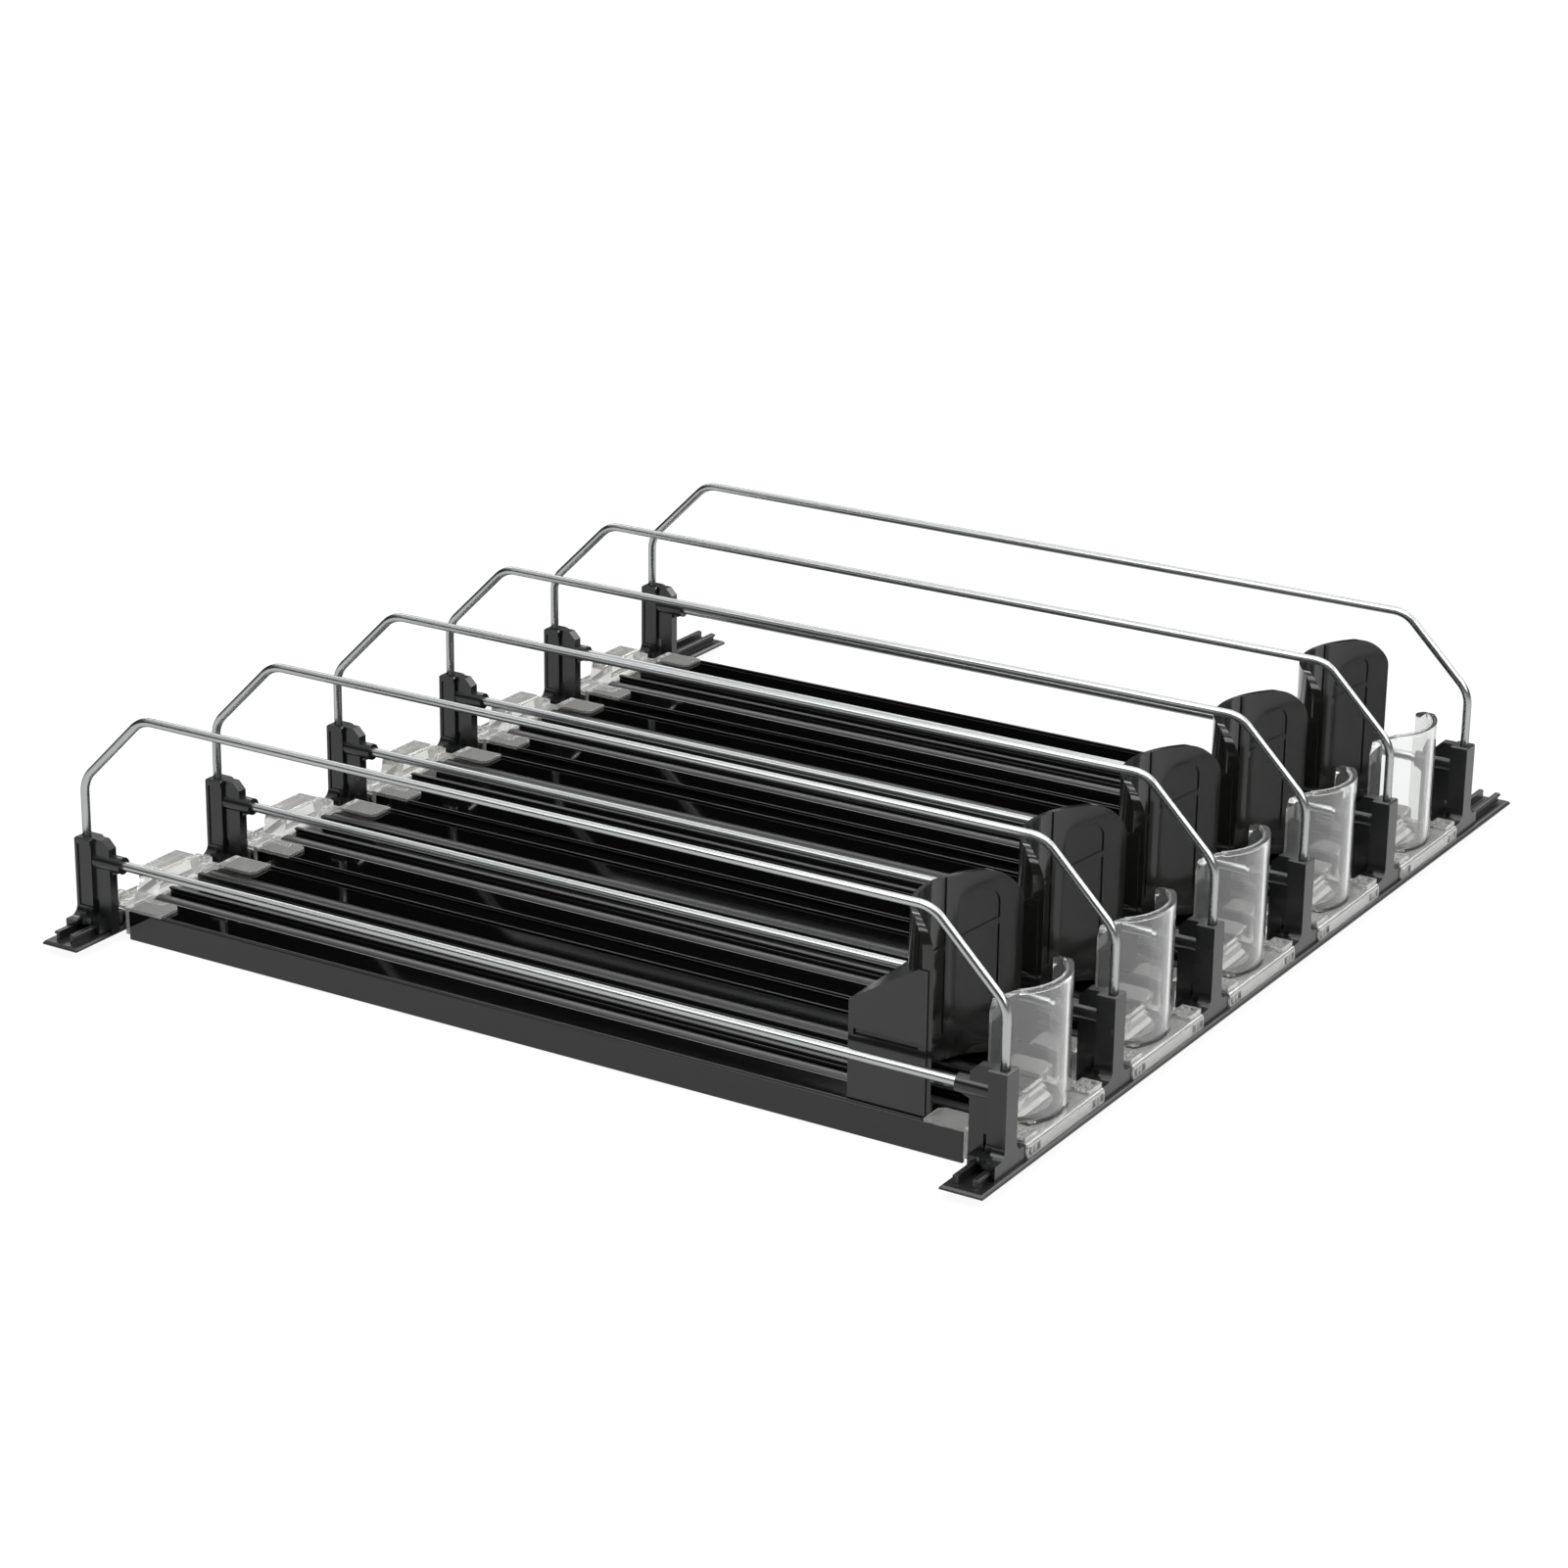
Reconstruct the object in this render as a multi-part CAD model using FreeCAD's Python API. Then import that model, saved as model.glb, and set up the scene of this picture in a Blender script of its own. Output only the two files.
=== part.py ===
import FreeCAD, Part
import math
import os
from FreeCAD import Vector

# Fridge can organizer: five spring-fed can lanes between six wire dividers.
# Two flat rails run from left to right and every divider stands on both of them.
# The tracks reach deeper than the rails and carry the organizer on the shelf, so each
# piece is drawn with z = 0 at the rails' underside and lifted to its place at the end.
# +X runs along the rails, +Y goes from the front of the lanes to the back, +Z is up.
# The origin lies on the shelf, under the middle of the organizer. Millimetres.

# Layout
lane_count = 5
lane_pitch = 74.3
rail_length = 435.0
first_divider_inset = 21.4
leg_spacing = 380.0
leg_from_rail_middle = 3.25
rail_lift = 3.2

# Rails
rail_width = 16.0
rail_plate = 1.5
rail_plate_bevel = 0.8
rail_height = 5.0
rib_middle = 3.2
rib_wall = 1.4
rib_lip = 0.9
rib_lip_height = 1.1
rib_end_setback = 3.0

# Wire dividers
wire_diameter = 3.2
hoop_top = 87.4
hoop_shoulder = 58.0
hoop_slope_run = 28.0
bend_radius = 12.0
rod_diameter = 3.5
rod_height = 28.0
rod_end_depth = 7.0

# Brackets
bracket_top = 36.6
socket_floor = 14.0
post_width = 7.8
post_depth = 7.2
panel_recess = 0.5
panel_border = 1.2
web_width = 4.0
web_depth = 7.4
web_corner = 3.0
collar_radius = 3.2
collar_end = 16.8
gusset_wall = 2.4
gusset_drop = 1.2
foot_height = 6.8
foot_half_width = 10.3
foot_front = 2.9
jaw_depth = 4.8
inner_jaw_half_width = 6.5
foot_fillet = 3.6
boss_radius = 2.6
boss_height = 0.9
boss_sink = 0.6
slit_width = 1.8
slit_top = 13.2

# Tracks
track_setback = 17.3
rear_track_setback = 13.5
track_half_width = 32.0
track_height = 8.0
track_wall = 1.4
track_web_middle = 12.5
glide_middle = 14.9
glide_width = 5.4
glide_height = 1.0
guide_inner = 7.2
guide_wall = 1.3
guide_height = 2.2
guide_lip = 0.8
guide_lip_height = 0.8

# Clear end caps
cap_front = 3.6
cap_rounding = 1.2
cap_end_wall = 1.7
cap_wall_gap = 2.0
cap_side_inset = 0.2
tongue_length = 9.0
tab_inner = 20.5
tab_wall = 1.2
rear_tab_reach = 15.2
tab_corner = 2.0
clip_half_width = 4.4
clip_front = 2.4
clip_depth = 7.2
clip_height = 1.9
clip_rib_wall = 1.0
clip_pocket_depth = 2.6
clip_hole_radius = 0.9
hump_half_width = 13.0
hump_top = 16.4
hump_slope = 3.0
hump_front = 1.0
hump_depth = 10.4

# Milky front stops
stop_radius = 24.0
stop_middle = 22.8
stop_wall = 1.8
stop_back = 14.3
stop_top = 54.5
stop_corner_width = 7.0
stop_corner_height = 9.0
stop_rim_height = 1.6
stop_rim_reach = 0.8
stop_flange_wall = 1.5
stop_flange_reach = 3.5
stop_flange_half_width = 18.0
stop_peg_radius = 1.4
stop_peg_length = 1.4
stop_peg_middle = 10.0

# Pushers
pusher_half_width = 30.6
paddle_radius = 33.0
paddle_middle = 17.2
paddle_wall = 2.0
paddle_half_width = 30.0
paddle_top = 76.0
paddle_corner_width = 7.0
paddle_corner_height = 10.5
channel_half_width = 9.5
panel_inner = 14.0
panel_outer = 26.0
panel_top = 70.0
panel_bottom = 20.0
panel_corner = 5.0
panel_sink = 0.5
housing_front = 32.7
housing_back = 62.0
housing_wall = 2.0
housing_back_top = 44.0
housing_front_top = 60.0
housing_shoulder = 3.5
border_width = 3.0
groove_height = 2.2
groove_middle = 33.0
groove_sink = 0.8
shoe_wall = 1.6
shoe_front = 40.0
hook_wall = 1.6
hook_reach = 4.0

# Spring coils
coil_radius = 3.6
coil_hole_radius = 1.9
coil_width = 12.0
strip_wall = 0.3
cheek_wall = 1.5

# Fits
clip_clearance = 0.15
wire_clearance = 0.05
cap_gap = 0.3
tongue_clearance = 0.2
peg_clearance = 0.1
running_clearance = 0.3
coil_clearance = 0.3
strip_gap = 0.1

front_legs = -leg_spacing / 2
rear_legs = leg_spacing / 2
first_divider = -rail_length / 2 + first_divider_inset
wire_radius = wire_diameter / 2
rod_radius = rod_diameter / 2
rail_plate_half = rail_width / 2
rib_inner = rib_middle - rib_wall / 2
rib_outer = rib_middle + rib_wall / 2
lip_underside = rail_height - rib_lip_height
cap_half_width = lane_pitch / 2 - foot_half_width - cap_gap
cap_outer = track_half_width - cap_side_inset
cap_wall_bottom = cap_wall_gap - rail_lift
track_length = leg_spacing - track_setback - rear_track_setback
front_tab_reach = housing_front - running_clearance - track_setback
guide_outer = guide_inner + guide_wall
guide_top = track_height + guide_height
coil_height = track_height + strip_gap + coil_radius
coil_middle = housing_back - housing_wall - coil_clearance - coil_radius
shoe_bottom = guide_top + running_clearance
cheek_inner = coil_width / 2 + coil_clearance
stop_half_width = math.sqrt(stop_radius ** 2 - (stop_middle - stop_back) ** 2)
peg_circle = stop_radius - stop_wall - stop_flange_reach / 2
peg_setback = stop_middle - math.sqrt(peg_circle ** 2 - stop_peg_middle ** 2)


def block(x0, x1, y0, y1, z0, z1):
    return Part.makeBox(x1 - x0, y1 - y0, z1 - z0, Vector(x0, y0, z0))


def outline_face(points):
    return Part.Face(Part.makePolygon(points + [points[0]]))


def along_x(profile, x0, x1):
    face = outline_face([Vector(x0, y, z) for y, z in profile])
    return face.extrude(Vector(x1 - x0, 0, 0))


def along_y(profile, y0, y1):
    face = outline_face([Vector(x, y0, z) for x, z in profile])
    return face.extrude(Vector(0, y1 - y0, 0))


def along_z(profile, z0, z1):
    face = outline_face([Vector(x, y, z0) for x, y in profile])
    return face.extrude(Vector(0, 0, z1 - z0))


def upright_cylinder(radius, x, y, z0, z1):
    return Part.makeCylinder(radius, z1 - z0, Vector(x, y, z0))


def cylinder_along_y(radius, x, z, y0, y1):
    return Part.makeCylinder(radius, y1 - y0, Vector(x, y0, z), Vector(0, 1, 0))


def cylinder_along_x(radius, y, z, x0, x1):
    return Part.makeCylinder(radius, x1 - x0, Vector(x0, y, z), Vector(1, 0, 0))


def joined(shapes):
    whole = shapes[0]
    for shape in shapes[1:]:
        whole = whole.fuse(shape)
    return whole.removeSplitter()


def both_sides(shape):
    return [shape, shape.mirror(Vector(0, 0, 0), Vector(1, 0, 0))]


def rounded_elevation(half_width, bottom, top, corner_width, corner_height, y0, y1):
    """A block that looks from the front like a rectangle with rounded top corners."""
    left_foot = Vector(-half_width, y0, bottom)
    right_foot = Vector(half_width, y0, bottom)
    edges = [Part.makeLine(left_foot, right_foot)]
    for side, foot in ((-1, left_foot), (1, right_foot)):
        centre = Vector(side * (half_width - corner_width), y0, top - corner_height)
        flank = centre + Vector(side * corner_width, 0, 0)
        crown = centre + Vector(0, 0, corner_height)
        long_end, short_end = (crown, flank) if corner_height > corner_width else (flank, crown)
        corner = Part.ArcOfEllipse(Part.Ellipse(long_end, short_end, centre), 0, math.pi / 2)
        edges += [Part.makeLine(foot, flank), corner.toShape()]
    inner = half_width - corner_width
    edges.append(Part.makeLine(Vector(-inner, y0, top), Vector(inner, y0, top)))
    wire = Part.Wire(Part.__sortEdges__(edges))
    return Part.Face(wire).extrude(Vector(0, y1 - y0, 0))


def curved_wall(radius, wall, middle, half_width, bottom, top, towards_front):
    """An upright wall bent round a can, on the front or the rear side of its middle."""
    ring = upright_cylinder(radius, 0, middle, bottom, top)
    ring = ring.cut(upright_cylinder(radius - wall, 0, middle, bottom, top))
    far = middle - radius if towards_front else middle
    near = middle if towards_front else middle + radius
    return ring.common(block(-half_width, half_width, far, near, bottom, top))


def rail_channel(x0, x1):
    """The space that a clipped-on part leaves for the two ribs, with its clearance."""
    rail_middle = leg_from_rail_middle
    narrow = rib_outer + clip_clearance
    wide = rib_outer + rib_lip + clip_clearance
    ledge = lip_underside - clip_clearance
    roof = rail_height + clip_clearance
    profile = [(rail_middle - narrow, 0), (rail_middle - narrow, ledge),
               (rail_middle - wide, ledge), (rail_middle - wide, roof),
               (rail_middle + wide, roof), (rail_middle + wide, ledge),
               (rail_middle + narrow, ledge), (rail_middle + narrow, 0)]
    return along_x(profile, x0, x1)


def make_rail():
    """A flat strip with two upright ribs whose tops hook outwards."""
    half = rail_length / 2
    plate = block(-half, half, -rail_plate_half, rail_plate_half, 0, rail_plate)
    top_edges = [edge for edge in plate.Edges if edge.BoundBox.ZMin > rail_plate / 2]
    plate = plate.makeChamfer(rail_plate_bevel, top_edges)
    hook_tip = rib_outer + rib_lip
    rib_profile = [(rib_inner, rail_plate / 2), (rib_inner, rail_height),
                   (hook_tip - rib_lip / 2, rail_height),
                   (hook_tip, rail_height - rib_lip_height / 2),
                   (hook_tip, lip_underside), (rib_outer, lip_underside),
                   (rib_outer, rail_plate / 2)]
    rib = along_x(rib_profile, -half + rib_end_setback, half - rib_end_setback)
    other_rib = rib.mirror(Vector(0, 0, 0), Vector(0, 1, 0))
    return joined([plate, rib, other_rib])


def make_bracket():
    """A clip-on post: front legs plug in from above, the lower rod from behind.
    The wire leg stands at x = 0, y = 0, and +y points into the organizer."""
    post_half = post_width / 2
    post_back = post_depth - foot_front
    web_back = post_back + web_depth
    jaw_back = jaw_depth - foot_front
    inner_jaw_back = 2 * leg_from_rail_middle + foot_front
    inner_jaw_front = inner_jaw_back - jaw_depth

    post = block(-post_half, post_half, -foot_front, post_back, rail_plate, bracket_top)
    rim = [edge for edge in post.Edges if edge.BoundBox.ZMin > bracket_top - panel_recess]
    post = post.makeChamfer(panel_recess, rim)
    panel = block(post_half - panel_recess, post_half, -foot_front + panel_border, post_back,
                  foot_height + foot_fillet, bracket_top - 2 * panel_border)
    for side_panel in both_sides(panel):
        post = post.cut(side_panel)

    web_profile = [(0, rail_plate), (web_back, rail_plate),
                   (web_back, bracket_top - web_corner), (web_back - web_corner, bracket_top),
                   (0, bracket_top)]
    web = along_x(web_profile, -web_width / 2, web_width / 2)
    collar = cylinder_along_y(collar_radius, 0, rod_height, post_back, collar_end)
    gusset_top = rod_height - (collar_radius + rod_radius) / 2
    gusset_profile = [(post_back, rod_height - collar_radius - gusset_drop),
                      (web_back, rod_height - collar_radius - gusset_drop),
                      (collar_end, gusset_top), (post_back, gusset_top)]
    gusset = along_x(gusset_profile, -gusset_wall / 2, gusset_wall / 2)

    outer_jaw = block(-foot_half_width, foot_half_width, -foot_front, jaw_back,
                      rail_plate, foot_height)
    inner_jaw = block(-inner_jaw_half_width, inner_jaw_half_width, inner_jaw_front,
                      inner_jaw_back, rail_plate, foot_height)
    bridge = block(-post_half, post_half, -foot_front, inner_jaw_back, rail_plate, foot_height)
    fillet_block = block(post_half, post_half + foot_fillet, -foot_front, jaw_back,
                         foot_height, foot_height + foot_fillet)
    hollow = cylinder_along_y(foot_fillet, post_half + foot_fillet,
                              foot_height + foot_fillet, -foot_front, jaw_back)
    fillet = fillet_block.cut(hollow)
    boss = upright_cylinder(boss_radius, post_half + boss_radius - boss_sink, leg_from_rail_middle,
                            rail_height + clip_clearance, foot_height + boss_height)

    bracket = joined([post, web, collar, gusset, outer_jaw, inner_jaw, bridge]
                     + both_sides(fillet) + both_sides(boss))
    bracket = bracket.cut(rail_channel(-2 * foot_half_width, 2 * foot_half_width))
    bracket = bracket.cut(upright_cylinder(wire_radius + wire_clearance, 0, 0,
                                           socket_floor, bracket_top + 1))
    bracket = bracket.cut(cylinder_along_y(rod_radius + wire_clearance, 0, rod_height,
                                           rod_end_depth, collar_end + 1))
    slit = block(-post_half, post_half, post_back, post_back + slit_width,
                 foot_height, slit_top)
    return bracket.cut(slit).removeSplitter()


def make_hoop():
    """One wire: up out of the front bracket, back along the top and down again."""
    top = hoop_top - wire_radius
    half = leg_spacing / 2
    corners = [Vector(0, -half, socket_floor), Vector(0, -half, hoop_shoulder),
               Vector(0, -half + hoop_slope_run, top), Vector(0, half - hoop_slope_run, top),
               Vector(0, half, hoop_shoulder), Vector(0, half, socket_floor)]
    pieces = []
    start = corners[0]
    for before, corner, after in zip(corners, corners[1:], corners[2:]):
        inward = (corner - before).normalize()
        outward = (after - corner).normalize()
        turn = inward.getAngle(outward)
        reach = bend_radius * math.tan(turn / 2)
        bend_start = corner - inward * reach
        pieces.append(Part.makeCylinder(wire_radius, (bend_start - start).Length, start, inward))
        axis = inward.cross(outward).normalize()
        bend_centre = bend_start + axis.cross(inward) * bend_radius
        section = Part.Face(Part.Wire(Part.makeCircle(wire_radius, bend_start, inward)))
        pieces.append(section.revolve(bend_centre, axis, math.degrees(turn)))
        start = corner + outward * reach
    last = corners[-1] - start
    pieces.append(Part.makeCylinder(wire_radius, last.Length, start, last))
    return joined(pieces)


def make_lower_rod():
    """A straight rod between the collars of the front and the rear bracket."""
    return cylinder_along_y(rod_radius, 0, rod_height, front_legs + rod_end_depth,
                            rear_legs - rod_end_depth)


def make_track():
    """An extruded runner: skirts down to the shelf, two webs, a deck with two arched glide
    ribs for the cans and, between them, two hooked guides for the pusher."""
    shelf = -rail_lift
    deck_bottom = track_height - track_wall
    outer = track_half_width
    skin = [(-outer, shelf), (-outer + track_wall, shelf), (-outer + track_wall, deck_bottom),
            (outer - track_wall, deck_bottom), (outer - track_wall, shelf), (outer, shelf),
            (outer, track_height), (-outer, track_height)]
    y0 = front_legs + track_setback
    y1 = y0 + track_length
    web = block(track_web_middle - track_wall / 2, track_web_middle + track_wall / 2,
                y0, y1, shelf, track_height)
    arch_radius = (glide_width ** 2 / 4 + glide_height ** 2) / (2 * glide_height)
    arch_middle = track_height + glide_height - arch_radius
    glide = cylinder_along_y(arch_radius, glide_middle, arch_middle, y0, y1)
    glide = glide.common(block(glide_middle - glide_width / 2, glide_middle + glide_width / 2,
                               y0, y1, deck_bottom, track_height + glide_height))
    guide = along_y([(guide_inner, deck_bottom), (guide_outer, deck_bottom),
                     (guide_outer, guide_top - guide_lip_height),
                     (guide_outer + guide_lip, guide_top - guide_lip_height),
                     (guide_outer + guide_lip, guide_top), (guide_inner, guide_top)], y0, y1)
    shapes = [along_y(skin, y0, y1)]
    for feature in (web, glide, guide):
        shapes += both_sides(feature)
    return joined(shapes)


def cap_clip(middle):
    """A raised frame beside the cap's foot, with ribbed pockets and a hole in its top."""
    back = clip_depth - clip_front
    floor = foot_height + clip_height / 3
    top = foot_height + clip_height
    clip = block(middle - clip_half_width, middle + clip_half_width, -clip_front, back,
                 rail_plate, top)
    pocket_width = clip_half_width - 1.5 * clip_rib_wall
    for side in (1, -1):
        inner = middle + side * clip_rib_wall / 2
        outer = inner + side * pocket_width
        left, right = sorted((inner, outer))
        clip = clip.cut(block(left, right, -clip_front + clip_rib_wall,
                              -clip_front + clip_rib_wall + clip_pocket_depth, floor, top))
        clip = clip.cut(upright_cylinder(clip_hole_radius, (left + right) / 2,
                                         back - clip_rib_wall - clip_hole_radius, floor, top))
    return clip


def cap_body(setback, tab_reach):
    """What the front and rear caps share: a body clipped on the rail between two feet,
    a wall against the track's end, tongues under the deck and tabs on top of it."""
    wall_front = setback - cap_end_wall
    body = block(-cap_half_width, cap_half_width, -cap_front, wall_front + cap_end_wall / 2,
                 rail_plate, foot_height)
    front_edge = [edge for edge in body.Edges
                  if edge.BoundBox.YMax < 0 and edge.BoundBox.ZMin > foot_height - cap_rounding]
    body = body.makeFillet(cap_rounding, front_edge)
    end_wall = block(-cap_outer, cap_outer, wall_front, setback,
                     cap_wall_bottom, track_height + tab_wall)
    notch = block(-tab_inner, tab_inner, wall_front, setback,
                  track_height, track_height + tab_wall)
    end_wall = end_wall.cut(notch)
    tongue = block(track_web_middle + track_wall / 2 + tongue_clearance,
                   track_half_width - track_wall - tongue_clearance,
                   setback - cap_end_wall / 2, setback + tongue_length,
                   cap_wall_bottom, track_height - track_wall - tongue_clearance)
    tab_end = setback + tab_reach
    tab = along_z([(tab_inner, wall_front), (cap_outer, wall_front), (cap_outer, tab_end),
                   (tab_inner + tab_corner, tab_end), (tab_inner, tab_end - tab_corner)],
                  track_height, track_height + tab_wall)
    shapes = [body, end_wall]
    for feature in (tongue, tab, cap_clip(cap_half_width - clip_half_width)):
        shapes += both_sides(feature)
    cap = joined(shapes)
    return cap.cut(rail_channel(-2 * cap_half_width, 2 * cap_half_width))


def make_front_cap():
    """The clear front cap, with two holes for the stop's pegs."""
    cap = cap_body(track_setback, front_tab_reach)
    for side in (1, -1):
        cap = cap.cut(upright_cylinder(stop_peg_radius + peg_clearance, side * stop_peg_middle,
                                       peg_setback, foot_height - stop_peg_length,
                                       foot_height + 1))
    return cap.removeSplitter()


def make_rear_cap():
    """The clear rear cap, with a raised middle that ends the pusher's travel.
    It is drawn as a front piece and turned half round where it is placed."""
    cap = cap_body(rear_track_setback, rear_tab_reach)
    hump_back = hump_front + hump_depth
    profile = [(-hump_half_width, foot_height - 1), (hump_half_width, foot_height - 1),
               (hump_half_width - hump_slope, hump_top), (-hump_half_width + hump_slope, hump_top)]
    hump = along_y(profile, hump_front, hump_back)
    crest = [edge for edge in hump.Edges if edge.BoundBox.ZMin > hump_top - cap_rounding]
    hump = hump.makeFillet(cap_rounding, crest)
    return joined([cap, hump])


def make_stop():
    """The milky stop: an upright bent wall on the front cap, thickened along its top edge.
    The first can leans on its two ends."""
    bottom = foot_height
    height_envelope = rounded_elevation(stop_half_width, bottom, stop_top, stop_corner_width,
                                        stop_corner_height, stop_middle - stop_radius,
                                        stop_back)
    depth_limit = block(-stop_radius, stop_radius, stop_middle - stop_radius, stop_back,
                        bottom, stop_top)
    wall = curved_wall(stop_radius, stop_wall, stop_middle, stop_half_width, bottom, stop_top,
                       True)
    rim = curved_wall(stop_radius - stop_wall / 2, stop_wall / 2 + stop_rim_reach, stop_middle,
                      stop_half_width - stop_corner_width, stop_top - stop_rim_height,
                      stop_top, True)
    flange = curved_wall(stop_radius - stop_wall / 2, stop_wall / 2 + stop_flange_reach,
                         stop_middle, stop_flange_half_width, bottom,
                         bottom + stop_flange_wall, True)
    peg = upright_cylinder(stop_peg_radius, stop_peg_middle, peg_setback,
                           foot_height - stop_peg_length, foot_height + stop_flange_wall)
    shapes = [wall.common(height_envelope), rim.common(depth_limit),
              flange.common(depth_limit)]
    return joined(shapes + both_sides(peg))


def make_pusher():
    """The black pusher: a paddle bent round a can, with a housing behind it for the spring.
    Hooked feet run under the lips of the track's two guides."""
    bottom = track_height + running_clearance
    shoulder = housing_front + housing_shoulder
    inner_half = pusher_half_width - housing_wall
    slope = math.atan2(housing_front_top - housing_back_top, housing_back - shoulder)
    roof_drop = housing_wall / math.cos(slope)
    inner_back = housing_back - housing_wall
    outer_profile = [(housing_front, bottom), (housing_back, bottom),
                     (housing_back, housing_back_top), (shoulder, housing_front_top),
                     (housing_front, housing_front_top)]
    inner_back_top = housing_back_top - roof_drop + housing_wall * math.tan(slope)
    inner_profile = [(paddle_middle, bottom - 1), (inner_back, bottom - 1),
                     (inner_back, inner_back_top), (shoulder, housing_front_top - roof_drop),
                     (paddle_middle, housing_front_top - roof_drop)]
    shell = along_x(outer_profile, -pusher_half_width, pusher_half_width)
    shell = shell.cut(along_x(inner_profile, -inner_half, inner_half))
    shell = shell.cut(upright_cylinder(paddle_radius, 0, paddle_middle, bottom - 1, paddle_top))
    over_guides = glide_middle + glide_width / 2 + running_clearance
    shell = shell.cut(block(-over_guides, over_guides, housing_front, housing_back + 1,
                            bottom - 1, shoe_bottom))
    border_back = housing_front + border_width
    groove = along_x([(border_back, groove_middle - groove_height / 2),
                      (housing_back - housing_wall, groove_middle - groove_height / 2),
                      (housing_back - housing_wall, groove_middle + groove_height / 2),
                      (border_back, groove_middle + groove_height / 2)],
                     pusher_half_width - groove_sink, pusher_half_width)
    for cut in both_sides(groove):
        shell = shell.cut(cut)

    back_radius = paddle_radius + paddle_wall
    envelope = rounded_elevation(paddle_half_width, shoe_bottom, paddle_top,
                                 paddle_corner_width, paddle_corner_height,
                                 paddle_middle, paddle_middle + back_radius + 1)
    paddle = curved_wall(back_radius, paddle_wall, paddle_middle, paddle_half_width,
                         shoe_bottom, paddle_top, False).common(envelope)
    sunk_face = upright_cylinder(paddle_radius + panel_sink, 0, paddle_middle,
                                 shoe_bottom, paddle_top)
    channel = block(-channel_half_width, channel_half_width, paddle_middle,
                    paddle_middle + back_radius, panel_bottom, paddle_top)
    panel = rounded_elevation((panel_outer - panel_inner) / 2, panel_bottom, panel_top,
                              panel_corner, panel_corner, paddle_middle,
                              paddle_middle + back_radius)
    panel.translate(Vector((panel_inner + panel_outer) / 2, 0, 0))
    for sunk in [channel] + both_sides(panel):
        paddle = paddle.cut(sunk.common(sunk_face))

    shoe_top = shoe_bottom + shoe_wall
    shoe = block(-inner_half, inner_half, shoe_front, inner_back, shoe_bottom, shoe_top)
    shoe = shoe.cut(upright_cylinder(paddle_radius, 0, paddle_middle, bottom - 1, paddle_top))
    shoe = shoe.cut(block(-cheek_inner, cheek_inner, shoe_front - 1, inner_back,
                          shoe_bottom - 1, shoe_top + 1))
    lip_end = guide_outer + guide_lip
    foot_inner = lip_end + running_clearance
    lip_bottom = guide_top - guide_lip_height
    hooked_foot = along_y([(foot_inner, shoe_top), (foot_inner, lip_bottom - running_clearance),
                           (guide_outer + running_clearance, lip_bottom - running_clearance),
                           (guide_outer + running_clearance, bottom),
                           (foot_inner + hook_wall, bottom), (foot_inner + hook_wall, shoe_top)],
                          coil_middle - hook_reach, inner_back)
    cheek = block(cheek_inner, cheek_inner + cheek_wall, coil_middle - coil_radius,
                  inner_back + housing_wall / 2, shoe_bottom, coil_height + coil_radius)
    axle_half_length = guide_inner - running_clearance
    axle = cylinder_along_x(coil_hole_radius - coil_clearance, coil_middle, coil_height,
                            -axle_half_length, axle_half_length)
    shapes = [shell, paddle, shoe, axle]
    for feature in (hooked_foot, cheek):
        shapes += both_sides(feature)
    return joined(shapes)


def make_spring():
    """A coil of flat spring steel on the pusher's axle, its free end hooked on the cap's wall."""
    coil = cylinder_along_x(coil_radius, coil_middle, coil_height, -coil_width / 2, coil_width / 2)
    coil = coil.cut(cylinder_along_x(coil_hole_radius, coil_middle, coil_height,
                                     -coil_width / 2 - 1, coil_width / 2 + 1))
    strip_bottom = coil_height - coil_radius
    wall_front = track_setback - cap_end_wall
    hook_back = wall_front - strip_gap
    strip = block(-coil_width / 2, coil_width / 2, hook_back - strip_wall, coil_middle,
                  strip_bottom, strip_bottom + strip_wall)
    strip = strip.cut(cylinder_along_x(coil_hole_radius, coil_middle, coil_height,
                                       -coil_width / 2 - 1, coil_width / 2 + 1))
    hook = block(-coil_width / 2, coil_width / 2, hook_back - strip_wall, hook_back,
                 foot_height + strip_gap, strip_bottom + strip_wall)
    return joined([coil, strip, hook])


def save(name, shape):
    if not shape.isValid():
        raise ValueError(name + " is not a valid solid")
    shape.exportStep("parts/" + name + ".step")


def moved(shape, x, y, turned=False):
    """A copy lifted to its place; a turned one faces the other way, as at the back."""
    copy = shape.copy()
    if turned:
        copy.rotate(Vector(0, 0, 0), Vector(0, 0, 1), 180)
    copy.translate(Vector(x, y, rail_lift))
    return copy


os.makedirs("parts", exist_ok=True)
rail = make_rail()
save("front_rail", moved(rail, 0, front_legs + leg_from_rail_middle))
save("rear_rail", moved(rail, 0, rear_legs - leg_from_rail_middle))

bracket = make_bracket()
hoop = make_hoop()
lower_rod = make_lower_rod()
for number in range(lane_count + 1):
    x = first_divider + number * lane_pitch
    label = str(number + 1)
    save("front_bracket_" + label, moved(bracket, x, front_legs))
    save("rear_bracket_" + label, moved(bracket, x, rear_legs, turned=True))
    save("divider_hoop_" + label, moved(hoop, x, 0))
    save("lower_rod_" + label, moved(lower_rod, x, 0))

track = make_track()
front_cap = make_front_cap()
rear_cap = make_rear_cap()
stop = make_stop()
pusher = make_pusher()
spring = make_spring()
for number in range(lane_count):
    x = first_divider + (number + 0.5) * lane_pitch
    label = str(number + 1)
    save("track_" + label, moved(track, x, 0))
    save("front_cap_" + label, moved(front_cap, x, front_legs))
    save("rear_cap_" + label, moved(rear_cap, x, rear_legs, turned=True))
    save("front_stop_" + label, moved(stop, x, front_legs))
    save("pusher_" + label, moved(pusher, x, front_legs))
    save("spring_" + label, moved(spring, x, front_legs))
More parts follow.
